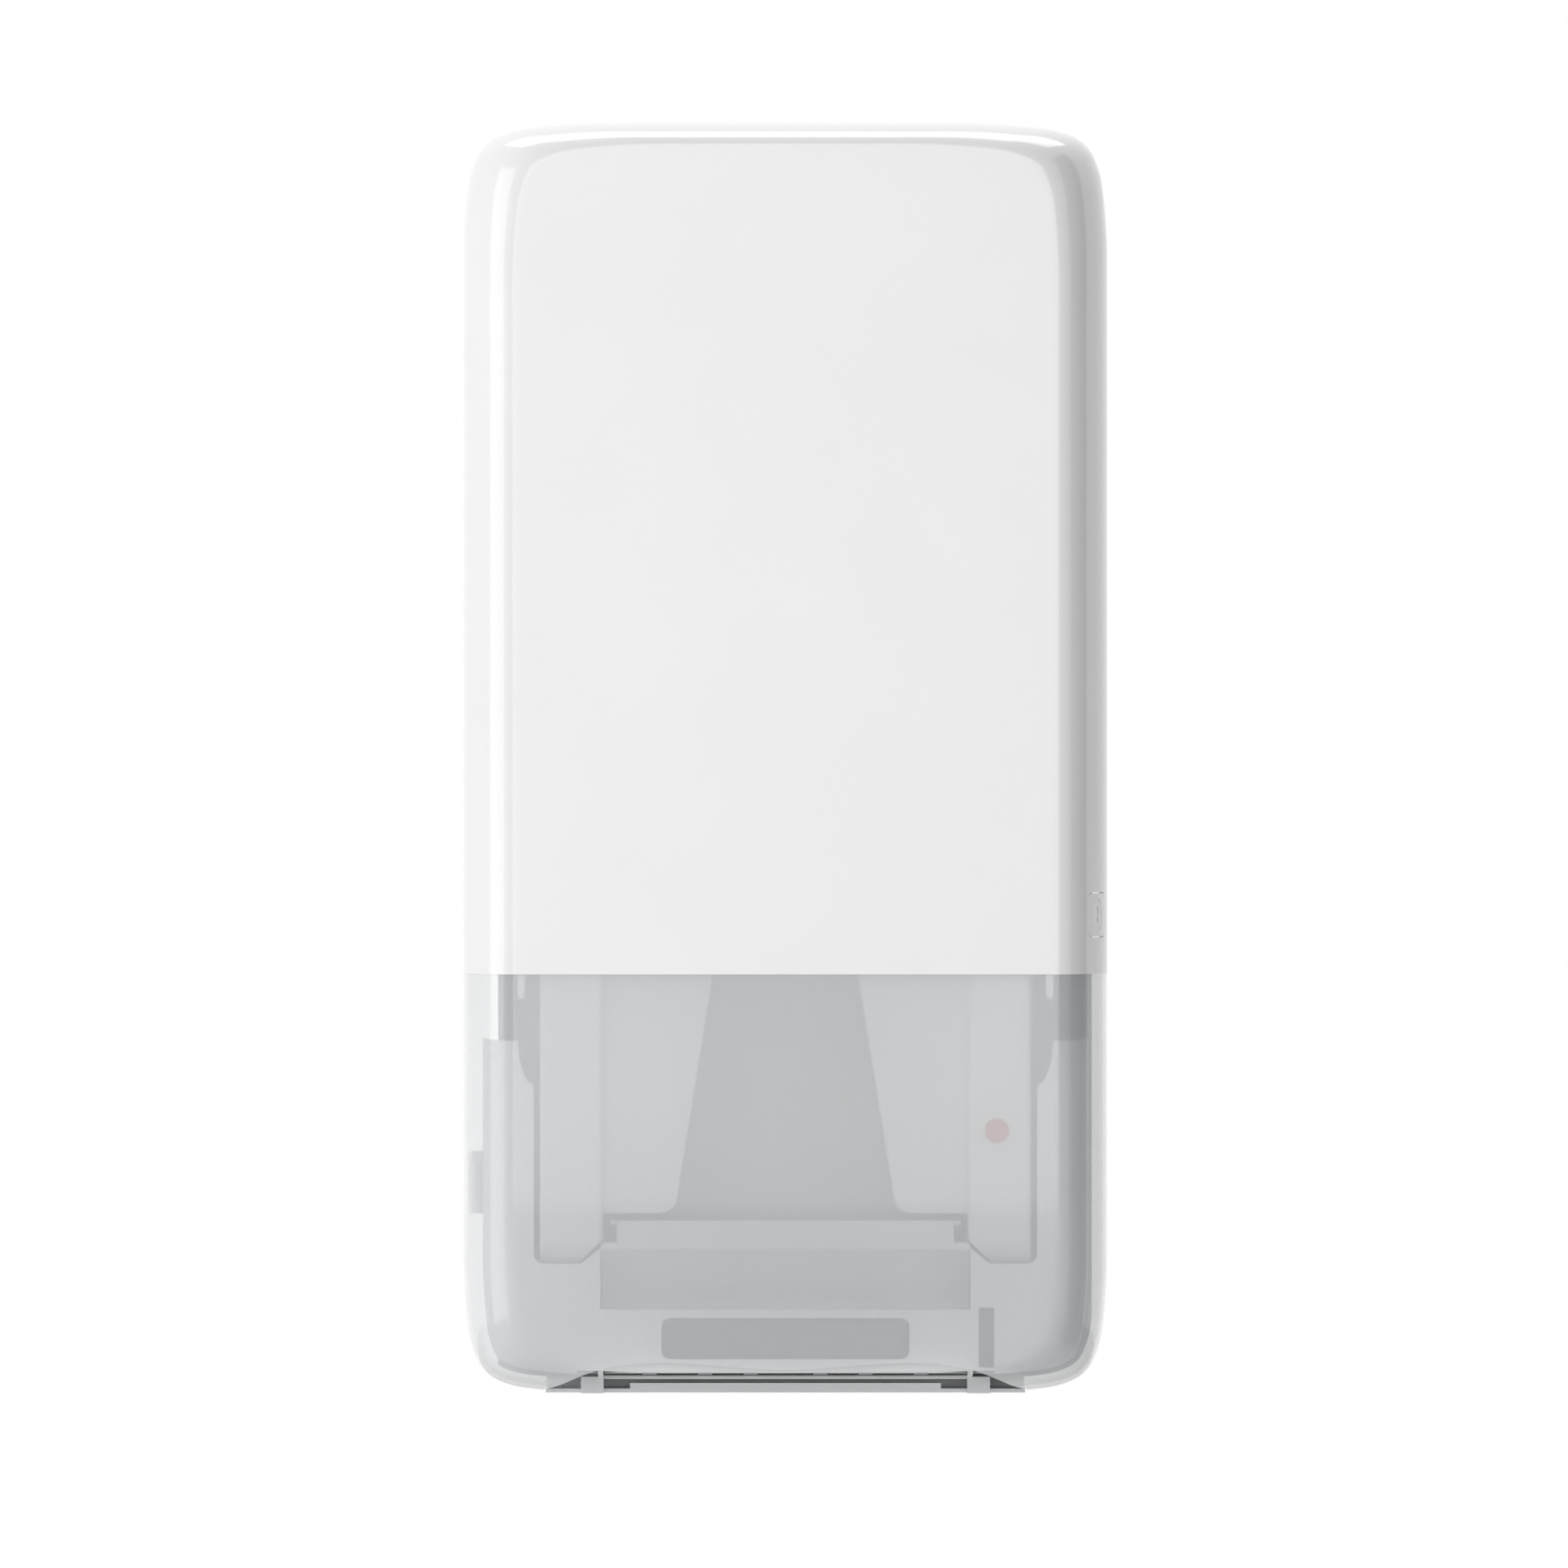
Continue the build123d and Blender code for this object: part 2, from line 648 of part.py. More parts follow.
# Outlet frame: cheeks that carry the rollers, feet, base and rear bar
with BuildPart() as outlet_frame:
    axes = [(-front_axis_depth, level(front_axis)), (-rear_axis_depth, level(rear_axis))]
    for side in (-1, 1):
        with BuildSketch(Plane.YZ.offset(side * cheek_inner)):
            with BuildLine():
                Polyline(
                    (-plate_thickness, level(base_thickness)),
                    (-base_depth, level(base_thickness)),
                    (-foot_depth, level(foot_height)),
                    (-front_axis_depth - 12, level(foot_height + 9)),
                    (-front_axis_depth - 12, level(cheek_top)),
                    (-plate_thickness, level(cheek_top)),
                    close=True,
                )
            make_face()
            with Locations(*axes):
                Circle(bush_radius, mode=Mode.SUBTRACT)
        extrude(amount=side * cheek_thickness)
        with BuildSketch(Plane.XZ.offset(plate_thickness)):
            with Locations((side * (cheek_inner + foot_outer) / 2, level(foot_height / 2))):
                Rectangle(foot_outer - cheek_inner, foot_height)
        extrude(amount=foot_depth - plate_thickness)
    with BuildSketch(Plane.XZ.offset(plate_thickness)):
        with Locations((0, level(base_thickness / 2))):
            Rectangle(2 * base_half_width, base_thickness)
    extrude(amount=base_depth - plate_thickness)
    with BuildSketch(Plane.XZ.offset(base_depth - 8)):
        with Locations((0, level(bar_rise / 2))):
            Rectangle(2 * bar_half_width, bar_rise)
    extrude(amount=8)
    with BuildSketch(Plane.XZ):
        with Locations((0, level(foot_height / 2))):
            Rectangle(2 * base_half_width, foot_height)
    extrude(amount=plate_thickness)
save(outlet_frame.part, "outlet_frame")

with BuildPart() as outlet_guide_bar:
    with BuildSketch(Plane.XZ.offset(guide_rear_depth)):
        with Locations((0, level((guide_low + guide_high) / 2))):
            Rectangle(2 * cheek_inner, guide_high - guide_low)
    extrude(amount=guide_front_depth - guide_rear_depth)
    fillet(outlet_guide_bar.edges().filter_by(Axis.X), 0.8)
save(outlet_guide_bar.part, "outlet_guide_bar")


# Rollers: steel shaft, tyres with hubs, and bushes in the cheeks
def along_x(depth, height, radius, start, length):
    with BuildPart() as rod:
        with BuildSketch(Plane.YZ.offset(start)):
            with Locations((-depth, level(height))):
                Circle(radius)
        extrude(amount=length)
    return rod.part


def tyres(depth, height, radius, places):
    with BuildPart() as group:
        for x in places:
            with BuildSketch(Plane.YZ.offset(x - tyre_width / 2)):
                with Locations((-depth, level(height))):
                    Circle(radius)
                    Circle(shaft_radius, mode=Mode.SUBTRACT)
            extrude(amount=tyre_width)
    return group.part


shaft_half = cheek_inner + cheek_thickness + 2
front_places = [0.0] + [s * x for x in front_tyre_places[1:] for s in (-1, 1)]
rear_places = [s * x for x in tyre_places for s in (-1, 1)]
front_length = shaft_half + wheel_mid + wheel_width / 2
save(along_x(front_axis_depth, front_axis, shaft_radius, -shaft_half, front_length), "front_roller_shaft")
save(along_x(rear_axis_depth, rear_axis, shaft_radius, -shaft_half, 2 * shaft_half), "rear_roller_shaft")
save(tyres(front_axis_depth, front_axis, front_tyre_radius, front_places), "front_roller_tyres")
save(tyres(rear_axis_depth, rear_axis, rear_tyre_radius, rear_places), "rear_roller_tyres")

with BuildPart() as roller_bushes:
    for side in (-1, 1):
        start = cheek_inner - 1 if side > 0 else -cheek_inner - cheek_thickness
        for spot in axes:
            with BuildSketch(Plane.YZ.offset(start)):
                with Locations(spot):
                    Circle(bush_radius)
                    Circle(shaft_radius + running_gap, mode=Mode.SUBTRACT)
            extrude(amount=cheek_thickness + 1)
save(roller_bushes.part, "roller_bushes")

with BuildPart() as feed_wheel:
    with BuildSketch(Plane.YZ.offset(wheel_mid - wheel_width / 2)):
        with Locations((-front_axis_depth, level(front_axis))):
            Circle(wheel_radius)
            Circle(shaft_radius, mode=Mode.SUBTRACT)
            with PolarLocations(wheel_radius + 0.4, wheel_teeth):
                Circle(1.0, mode=Mode.SUBTRACT)
    extrude(amount=wheel_width)
save(feed_wheel.part, "feed_wheel")

# Support roller over the top of the towel stack
axle_half = chute_half_width + rail_wall
save(along_x(top_axis_depth, top_axis, top_axle_radius, -axle_half, 2 * axle_half), "top_roller_axle")
with BuildPart() as top_roller:
    with BuildSketch(Plane.YZ.offset(-top_roller_half)):
        with Locations((-top_axis_depth, level(top_axis))):
            Circle(top_roller_radius)
            Circle(top_axle_radius + running_gap, mode=Mode.SUBTRACT)
    extrude(amount=2 * top_roller_half)
    chamfer(top_roller.edges().filter_by(GeomType.CIRCLE).sort_by(SortBy.RADIUS)[-2:], 1)
save(top_roller.part, "top_roller")
with BuildPart() as top_roller_bushes:
    for side in (-1, 1):
        start = chute_half_width if side > 0 else -chute_half_width - rail_wall
        with BuildSketch(Plane.YZ.offset(start)):
            with Locations((-top_axis_depth, level(top_axis))):
                Circle(bush_radius)
                Circle(top_axle_radius, mode=Mode.SUBTRACT)
        extrude(amount=rail_wall)
save(top_roller_bushes.part, "top_roller_bushes")

# Red button with its ring and return spring
button_spot = (button_x, level(button_height))
flange_front = bar_depth - rail_wall - part_gap
with BuildPart() as release_button:
    with BuildSketch(Plane.XZ.offset(flange_front - 2)):
        with Locations(button_spot):
            Circle(button_flange_radius)
    extrude(amount=2)
    with BuildSketch(Plane.XZ.offset(flange_front)):
        with Locations(button_spot):
            Circle(button_radius)
    extrude(amount=bar_depth + button_proud - flange_front)
    fillet(release_button.edges().filter_by(GeomType.CIRCLE).group_by(Axis.Y)[0], 1.2)
save(release_button.part, "release_button")
with BuildPart() as button_ring:
    with BuildSketch(Plane.XZ.offset(bar_depth)):
        with Locations(button_spot):
            Circle(button_ring_outer)
            Circle(button_radius + part_gap, mode=Mode.SUBTRACT)
    extrude(amount=1)
save(button_ring.part, "button_ring")
spring_room = flange_front - 2 - (bar_depth - bar_return + boss_floor)
button_pitch = (spring_room - 2 * spring_wire) / button_spring_turns
button_base = (button_x, -(bar_depth - bar_return + boss_floor + spring_wire), level(button_height))
button_coil = coil(button_base, (0, -1, 0), button_radius - 1, button_spring_turns, button_pitch, spring_wire)
save(button_coil, "button_spring")

# Hinges: bracket on the back plate, pin, and a leaf fixed inside the cover
for height, name in ((hinge_low, "lower"), (hinge_high, "upper")):
    z = level(height)
    pin_spot = (hinge_x, -hinge_depth)
    with BuildPart() as bracket:
        with BuildSketch(Plane.XY.offset(z - hinge_height / 2)):
            with Locations((bracket_x, -(plate_thickness + hinge_depth + hinge_arm / 2) / 2)):
                Rectangle(bracket_width, hinge_depth + hinge_arm / 2 - plate_thickness)
        extrude(amount=hinge_height)
        with BuildSketch(Plane.XY.offset(z - bracket_knuckle / 2)):
            with Locations(((hinge_x + bracket_arm_end) / 2, -hinge_depth)):
                Rectangle(bracket_arm_end - hinge_x, hinge_arm)
            with Locations(pin_spot):
                Circle(knuckle_radius)
                Circle(hinge_pin_radius + running_gap, mode=Mode.SUBTRACT)
        extrude(amount=bracket_knuckle)
    save(bracket.part, "hinge_bracket_" + name)
    with BuildPart() as pin:
        with BuildSketch(Plane.XY.offset(z - hinge_height / 2)):
            with Locations(pin_spot):
                Circle(hinge_pin_radius)
        extrude(amount=hinge_height)
    save(pin.part, "hinge_pin_" + name)
    leaf_x = -half_wide + cover_wall + 2 * running_gap
    with BuildPart() as leaf:
        with BuildSketch(Plane.XY.offset(z - hinge_height / 2)):
            with Locations((leaf_x + leaf_thickness / 2, -hinge_depth - leaf_reach / 2)):
                Rectangle(leaf_thickness, leaf_reach)
            with Locations((leaf_x + leaf_thickness, -hinge_depth)):
                Rectangle(4, 4)
            with Locations(pin_spot):
                Circle(knuckle_radius)
            with Locations(pin_spot):
                Circle(hinge_pin_radius + running_gap, mode=Mode.SUBTRACT)
        extrude(amount=hinge_height)
        with BuildSketch(Plane.XY.offset(z - bracket_knuckle / 2 - part_gap)):
            with Locations((leaf_x + leaf_thickness + 20, -hinge_depth)):
                Rectangle(40, 4 * knuckle_radius)
        extrude(amount=bracket_knuckle + 2 * part_gap, mode=Mode.SUBTRACT)
        with BuildSketch(Plane.XY.offset(z - hinge_height / 2)):
            with Locations((leaf_x - 5, 0)):
                Rectangle(10, case_depth * 2)
        extrude(amount=hinge_height, mode=Mode.SUBTRACT)
    save(leaf.part, "cover_hinge_" + name)

# Lock: flush plate cut from the cover's own curve, sleeve, turning rotor and cam
with BuildPart() as lock_plate:
    with BuildSketch(lock_plane.offset(-3 * cover_wall)):
        RectangleRounded(lock_plate_long, lock_plate_high, lock_plate_corner)
    extrude(amount=6 * cover_wall)
    add(outer_shape, mode=Mode.INTERSECT)
    add(inner_shape, mode=Mode.SUBTRACT)
    with BuildSketch(lock_plane.offset(-3 * cover_wall)):
        Circle(lock_face_radius + running_gap)
    extrude(amount=6 * cover_wall, mode=Mode.SUBTRACT)
save(lock_plate.part, "lock_plate")

sleeve_top = -cover_wall - 1
with BuildPart() as lock_sleeve:
    with BuildSketch(lock_plane.offset(sleeve_top - lock_sleeve_length)):
        Circle(lock_sleeve_radius)
        Circle(lock_face_radius + running_gap, mode=Mode.SUBTRACT)
    extrude(amount=lock_sleeve_length)
save(lock_sleeve.part, "lock_sleeve")

rotor_tail = sleeve_top - lock_sleeve_length - part_gap
with BuildPart() as lock_rotor:
    with BuildSketch(lock_plane.offset(rotor_tail)):
        Circle(lock_face_radius)
    extrude(amount=-rotor_tail - 0.4)
    with BuildSketch(lock_plane.offset(-3.4)):
        Rectangle(1.6, 9)
        with Locations((0, 3), (0, -3)):
            Circle(1.6)
    extrude(amount=3, mode=Mode.SUBTRACT)
save(lock_rotor.part, "lock_rotor")

with BuildPart() as lock_cam:
    with BuildSketch(lock_plane.offset(rotor_tail - cam_thickness)):
        Circle(cam_width / 2 + 1)
        with Locations((cam_length / 2, 0)):
            Rectangle(cam_length, cam_width)
    extrude(amount=cam_thickness)
save(lock_cam.part, "lock_cam")

cam_centre = lock_plane.offset(rotor_tail - cam_thickness / 2).origin
keeper_front = -cam_centre.Y + cam_width / 2 + 1.5
keeper_x = cam_centre.X
with BuildPart() as latch_keeper:
    with BuildSketch(Plane.XZ.offset(plate_thickness)):
        with Locations((keeper_x, lock_z - cam_length - keeper_drop)):
            Rectangle(keeper_width, 2 * keeper_plate)
    extrude(amount=keeper_front - plate_thickness)
    with BuildSketch(Plane.XZ.offset(keeper_front)):
        with Locations((keeper_x, lock_z - cam_length - 0.5)):
            Rectangle(keeper_width, keeper_head)
    extrude(amount=keeper_plate)
    with BuildSketch(Plane.XZ.offset(plate_thickness)):
        with Locations((keeper_x, lock_z - cam_length - keeper_drop)):
            Rectangle(keeper_width, keeper_foot)
    extrude(amount=keeper_plate)
save(latch_keeper.part, "latch_keeper")
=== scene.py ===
# %% [markdown]
# A slim wall-hung dispenser for a folded hand towel: a glossy white cover, a clear
# window below it, and behind the window two rails, two flaps, a mask and rollers.
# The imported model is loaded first. It gives every piece its place, in metres, with
# X to the right, Y into the wall and Z up, so nothing has to be fitted by hand.

# %% Load the frame
import bmesh
import bpy
import numpy as np
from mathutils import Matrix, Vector


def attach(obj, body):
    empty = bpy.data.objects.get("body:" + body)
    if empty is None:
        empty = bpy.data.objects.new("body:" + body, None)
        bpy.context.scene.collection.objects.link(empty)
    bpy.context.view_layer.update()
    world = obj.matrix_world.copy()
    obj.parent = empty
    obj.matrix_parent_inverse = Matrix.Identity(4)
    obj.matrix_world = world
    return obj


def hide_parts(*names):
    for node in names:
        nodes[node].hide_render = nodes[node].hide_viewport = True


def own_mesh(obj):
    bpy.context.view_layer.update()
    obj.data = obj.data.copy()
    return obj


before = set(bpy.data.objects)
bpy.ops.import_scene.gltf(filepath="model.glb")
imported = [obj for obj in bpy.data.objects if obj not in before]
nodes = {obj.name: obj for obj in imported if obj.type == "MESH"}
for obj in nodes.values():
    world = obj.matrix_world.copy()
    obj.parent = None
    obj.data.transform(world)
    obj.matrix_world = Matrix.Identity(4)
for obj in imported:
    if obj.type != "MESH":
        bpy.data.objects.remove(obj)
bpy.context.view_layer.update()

MM = 0.001

# %% [markdown]
# Colours are written as the hex values a painter would use, and one function turns
# them to the linear values that a renderer adds up. One more small function adds a
# shader node with its settings and links, so each material below reads as a recipe.

# %% Colour and node helpers


def linear(code):
    """sRGB hex to linear RGBA: the standard curve, with its straight toe below 0.04045."""
    parts = [int(code[i : i + 2], 16) / 255 for i in (1, 3, 5)]
    curve = [c / 12.92 if c <= 0.04045 else ((c + 0.055) / 1.055) ** 2.4 for c in parts]
    return (*curve, 1.0)


def add(tree, kind, links=None, values=None, **settings):
    """Adds one shader node: settings are its properties, values and links go to its sockets."""
    made = tree.nodes.new(kind)
    for name, value in settings.items():
        setattr(made, name, value)
    for socket, value in (values or {}).items():
        made.inputs[socket].default_value = value
    for socket, source in (links or {}).items():
        tree.links.new(source, made.inputs[socket])
    return made


def between(tree, share, dark, light):
    """The colour that a value from 0 to 1 picks between two hex colours: sockets 6 and 7."""
    node = add(tree, "ShaderNodeMix", {0: share}, {6: linear(dark), 7: linear(light)}, data_type="RGBA")
    return node.outputs[2]


def blank(name):
    """An empty material with its output node."""
    material = bpy.data.materials.new(name)
    material.use_nodes = True
    material.node_tree.nodes.clear()
    out = add(material.node_tree, "ShaderNodeOutputMaterial")
    return material, material.node_tree, out


# %% [markdown]
# Nearly every piece is injection-moulded plastic. What the eye reads on it is a faint
# drift of tone where the melt flowed, and the grain of the mould: polished on the
# cover, spark-eroded to a fine satin on the inner parts. One recipe makes them all,
# from two close colours, a roughness, and the size and height of the grain in mm.

# %% Moulded plastic
FLOW_MM = 60


def moulded(name, dark, light, roughness, grain, height, ior=1.5, coat=0.0, speckle=0.35):
    """Plastic: tone drifts between two colours as the melt flowed, and grain of a real size bumps it."""
    material, tree, out = blank(name)
    place = add(tree, "ShaderNodeTexCoord").outputs["Object"]
    flow = add(
        tree,
        "ShaderNodeTexNoise",
        {"Vector": place},
        {"Scale": 1 / (FLOW_MM * MM), "Detail": 2.0, "Roughness": 0.4},
    )
    fleck = add(tree, "ShaderNodeTexNoise", {"Vector": place}, {"Scale": 1 / (grain * MM), "Detail": 1.0})
    share = add(
        tree,
        "ShaderNodeMix",
        {2: flow.outputs["Fac"], 3: fleck.outputs["Fac"]},
        {0: speckle},
        data_type="FLOAT",
    )
    tone = between(tree, share.outputs[0], dark, light)
    bump = add(
        tree, "ShaderNodeBump", {"Height": fleck.outputs["Fac"]}, {"Strength": 1.0, "Distance": height * MM}
    )
    shine = add(
        tree,
        "ShaderNodeMapRange",
        {"Value": flow.outputs["Fac"]},
        {"To Min": roughness * 0.9, "To Max": roughness * 1.12},
    )
    surface = add(
        tree,
        "ShaderNodeBsdfPrincipled",
        {"Base Color": tone, "Roughness": shine.outputs["Result"], "Normal": bump.outputs["Normal"]},
        {"IOR": ior, "Coat Weight": coat, "Coat Roughness": 0.04},
    )
    tree.links.new(surface.outputs["BSDF"], out.inputs["Surface"])
    return material


# Polished ABS of the cover, the lock's face and the hinge leaves
gloss_white = moulded("abs_polished_white", "#ECECED", "#F1F1F2", 0.16, 2.5, 0.0008, coat=0.3, speckle=0.1)
# Satin ABS of the mask, the funnel and the outlet
satin_white = moulded("abs_satin_white", "#E4E5E6", "#EDEEEF", 0.42, 0.9, 0.012)
# Satin ABS, a little greyer: the rails, the chute floor, the button's ring and the brackets
rail_white = moulded("abs_rail_white", "#E0E1E2", "#E9EAEB", 0.36, 0.9, 0.010)
# Polypropylene of the flaps, which is waxier and duller than ABS
flap_white = moulded("polypropylene_flap", "#D2D4D5", "#DBDDDE", 0.48, 1.1, 0.015)
# Grey ABS of the back plate
tray_grey = moulded("abs_tray_grey", "#A9ABAD", "#B3B5B7", 0.55, 1.2, 0.02)
# Dark grey ABS of the finger pan and its latch
grip_grey = moulded("abs_grip_grey", "#55585A", "#606365", 0.5, 1.0, 0.03)
# Rubber: pale on the rear rollers, dark on the front rollers, dark grey on the feed wheel
tyre_light = moulded("rubber_tyre_light", "#8E9092", "#9A9C9E", 0.7, 0.8, 0.02)
tyre_dark = moulded("rubber_tyre_dark", "#3A3B3D", "#454648", 0.75, 0.8, 0.02)
wheel_grey = moulded("rubber_wheel_grey", "#4A4C4E", "#55575A", 0.6, 0.8, 0.02)
# Natural acetal of the bushes and of the roller at the top
acetal = moulded("acetal_natural", "#E3E1DA", "#ECEAE4", 0.35, 0.8, 0.006, ior=1.48)
# Red ABS of the button
red_button = moulded("abs_signal_red", "#C0303A", "#CC3C45", 0.35, 0.9, 0.006)
print("materials so far", len(bpy.data.materials))

# %% [markdown]
# Shafts, pins, screws and springs are drawn steel. Drawing leaves lines along the rod,
# so the roughness varies in streaks. The lock's sleeve is die-cast zinc: duller, with
# the faint mottle of a cast skin.

# %% Metals


def metal(name, dark, light, roughness, stretch, size):
    """Metal: streaked or mottled tone and roughness from one stretched noise."""
    material, tree, out = blank(name)
    place = add(tree, "ShaderNodeTexCoord").outputs["Object"]
    turned = add(tree, "ShaderNodeMapping", {"Vector": place}, {"Scale": stretch})
    streak = add(
        tree,
        "ShaderNodeTexNoise",
        {"Vector": turned.outputs["Vector"]},
        {"Scale": 1 / (size * MM), "Detail": 3.0},
    )
    tone = between(tree, streak.outputs["Fac"], dark, light)
    rough = add(
        tree,
        "ShaderNodeMapRange",
        {"Value": streak.outputs["Fac"]},
        {"To Min": roughness * 0.8, "To Max": roughness * 1.3},
    )
    surface = add(
        tree,
        "ShaderNodeBsdfPrincipled",
        {"Base Color": tone, "Roughness": rough.outputs["Result"]},
        {"Metallic": 1.0},
    )
    tree.links.new(surface.outputs["BSDF"], out.inputs["Surface"])
    return material


# Drawn steel with its streaks along X, for shafts
drawn_steel = metal("steel_drawn_bright", "#B9BBBE", "#CDCFD2", 0.28, (0.05, 1, 1), 0.6)
# Drawn steel with its streaks along Z, for pins, screws, springs and the lock's cam
pin_steel = metal("steel_drawn_pin", "#B0B2B5", "#C6C8CB", 0.3, (1, 1, 0.05), 0.6)
# Die-cast zinc of the lock's sleeve
cast_zinc = metal("zinc_die_cast", "#A9ABAE", "#BDBFC2", 0.4, (1, 1, 1), 1.5)
print("materials so far", len(bpy.data.materials))

# %% [markdown]
# The window is clear plastic with a faint grey body, as polished as the cover. Light
# goes straight through a wall this thin, so refraction would cost time and show nothing.
# It is a mix instead: seen square on, 62% passes and the body scatters the rest. At a
# slant the sight line runs further inside the wall, so less passes. The skin's shine
# follows Fresnel's law.

# %% Clear window plastic
DRIFT_MM = 90
BODY_SQUARE_ON = 0.38
BODY_AT_A_SLANT = 0.82
# Styrene acrylonitrile, the clear stiff plastic of the window
window_clear, tree, out = blank("clear_styrene_acrylonitrile")
place = add(tree, "ShaderNodeTexCoord").outputs["Object"]
drift = add(tree, "ShaderNodeTexNoise", {"Vector": place}, {"Scale": 1 / (DRIFT_MM * MM), "Detail": 1.0})
body_tone = between(tree, drift.outputs["Fac"], "#E6E8E9", "#ECEDEF")
slant = add(tree, "ShaderNodeLayerWeight", values={"Blend": 0.5})
steep = add(tree, "ShaderNodeMath", {0: slant.outputs["Facing"]}, {1: 2.0}, operation="POWER")
body_share = add(
    tree,
    "ShaderNodeMapRange",
    {"Value": steep.outputs["Value"]},
    {"To Min": BODY_SQUARE_ON, "To Max": BODY_AT_A_SLANT},
)
clear_surface = add(
    tree,
    "ShaderNodeBsdfPrincipled",
    {"Base Color": body_tone, "Alpha": body_share.outputs["Result"]},
    {"Roughness": 0.1, "IOR": 1.57, "Coat Weight": 1.0, "Coat Roughness": 0.03},
)
tree.links.new(clear_surface.outputs["BSDF"], out.inputs["Surface"])
print("window lets through", 1 - BODY_SQUARE_ON, "square on")

# %% [markdown]
# The cover is the piece everyone sees, so it is worked out again as a smooth surface.
# Its outline is a chain of tangent arcs, tight at the corner and easing into the sides.
# From the wall the outline runs straight forward, then shrinks along a quarter ellipse
# to the flat front. A grid of outline points against depth is all that it takes. The
# numbers are metres, and each corner arc is a radius with the degrees that it turns.

# %% The case as a surface of two parameters
HALF_WIDE, HALF_HIGH, DEPTH = 0.185, 0.365, 0.101
EDGE_SIDE, EDGE_TOP, EDGE_DEPTH = 0.032, 0.016, 0.064
WALL, REAR = 0.0025, 0.004
SEAM_HIGH = 0.242
SPLIT = SEAM_HIGH - HALF_HIGH
CORNER = ((0.420, 7), (0.060, 15), (0.025, 44), (0.060, 17), (0.357, 7))
LINE_STEPS, ARC_STEPS, SIDE_STEPS = 12, 14, 24
STRAIGHT_STEPS, EDGE_STEPS = 5, 33
FRONT_RINGS = (0.97, 0.9, 0.75, 0.5, 0.25)
SHARP_EDGE = np.radians(35)


def quarter(wide, high):
    """Top centre to side middle: a line, five arcs that turn 90 degrees in all, and a line."""
    starts = np.radians(np.cumsum([0] + [turn for _, turn in CORNER]))
    radii = np.array([radius for radius, _ in CORNER])
    across = np.concatenate([[0], np.cumsum(radii * np.diff(np.sin(starts)))])
    down = np.concatenate([[0], np.cumsum(radii * -np.diff(np.cos(starts)))])
    first_x = wide - across[-1]
    top = np.linspace(0, first_x, LINE_STEPS, endpoint=False)
    pieces = [np.column_stack([top, np.full(LINE_STEPS, high)])]
    for i, radius in enumerate(radii):
        angle = np.linspace(starts[i], starts[i + 1], ARC_STEPS, endpoint=False)
        x = first_x + across[i] + radius * (np.sin(angle) - np.sin(starts[i]))
        z = high - down[i] - radius * (np.cos(starts[i]) - np.cos(angle))
        pieces.append(np.column_stack([x, z]))
    last_z = high - down[-1]
    side = np.linspace(last_z, 0, SIDE_STEPS, endpoint=False)
    pieces.append(np.column_stack([np.full(SIDE_STEPS, wide), side]))
    return np.concatenate(pieces)


def loop(wide, high):
    """The whole outline, clockwise from the top centre: one quarter and its three mirrors."""
    one = quarter(wide, high)
    flip = np.array([1, -1])
    end = np.array([[wide, 0.0]])
    down = (one[1:] * flip)[::-1]
    right = np.concatenate([one, end, down, np.array([[0.0, -high]])])
    left = (right[1:-1] * np.array([-1, 1]))[::-1]
    return np.concatenate([right, left])


def case_rings():
    """Rings from the rear edge to the flat front: straight, then along a quarter ellipse."""
    rings = []
    for depth in np.linspace(REAR, DEPTH - EDGE_DEPTH, STRAIGHT_STEPS, endpoint=False):
        rings.append((HALF_WIDE, HALF_HIGH, depth))
    for turn in np.radians(np.linspace(90, 0, EDGE_STEPS)):
        wide = HALF_WIDE - EDGE_SIDE * (1 - np.sin(turn))
        high = HALF_HIGH - EDGE_TOP * (1 - np.sin(turn))
        rings.append((wide, high, DEPTH - EDGE_DEPTH * (1 - np.cos(turn))))
    for shrink in FRONT_RINGS:
        wide, high = HALF_WIDE - EDGE_SIDE, HALF_HIGH - EDGE_TOP
        rings.append((wide * shrink, high * shrink, DEPTH))
    return rings


def case_mesh(name):
    """The case's skin as a mesh: quads between neighbouring rings, and a fan at the middle."""
    points = []
    flat_wide, flat_high = HALF_WIDE - EDGE_SIDE, HALF_HIGH - EDGE_TOP
    for wide, high, depth in case_rings():
        shrink = min(1.0, wide / flat_wide)
        ring = loop(wide, high) if shrink == 1.0 else loop(flat_wide, flat_high) * shrink
        points.append(np.column_stack([ring[:, 0], np.full(len(ring), -depth), ring[:, 1]]))
    count = len(points[0])
    grid = np.arange(count * len(points)).reshape(len(points), count)
    a, b = grid[:-1], grid[1:]
    quads = np.stack([a, np.roll(a, -1, 1), np.roll(b, -1, 1), b], axis=-1).reshape(-1, 4)
    middle = count * len(points)
    fan = np.stack([grid[-1], np.roll(grid[-1], -1), np.full(count, middle)], axis=-1)
    everything = np.concatenate(points + [np.array([[0.0, -DEPTH, 0.0]])])
    mesh = bpy.data.meshes.new(name)
    mesh.from_pydata(everything.tolist(), [], quads.tolist() + fan.tolist())
    return mesh


def tidy(mesh):
    """Faces outwards, and smooth except across edges sharper than 35 degrees."""
    work = bmesh.new()
    work.from_mesh(mesh)
    bmesh.ops.remove_doubles(work, verts=work.verts, dist=1e-6)
    bmesh.ops.recalc_face_normals(work, faces=work.faces)
    for edge in work.edges:
        edge.smooth = len(edge.link_faces) == 2 and edge.calc_face_angle(0) < SHARP_EDGE
    for face in work.faces:
        face.smooth = True
    work.to_mesh(mesh)
    work.free()
    return mesh


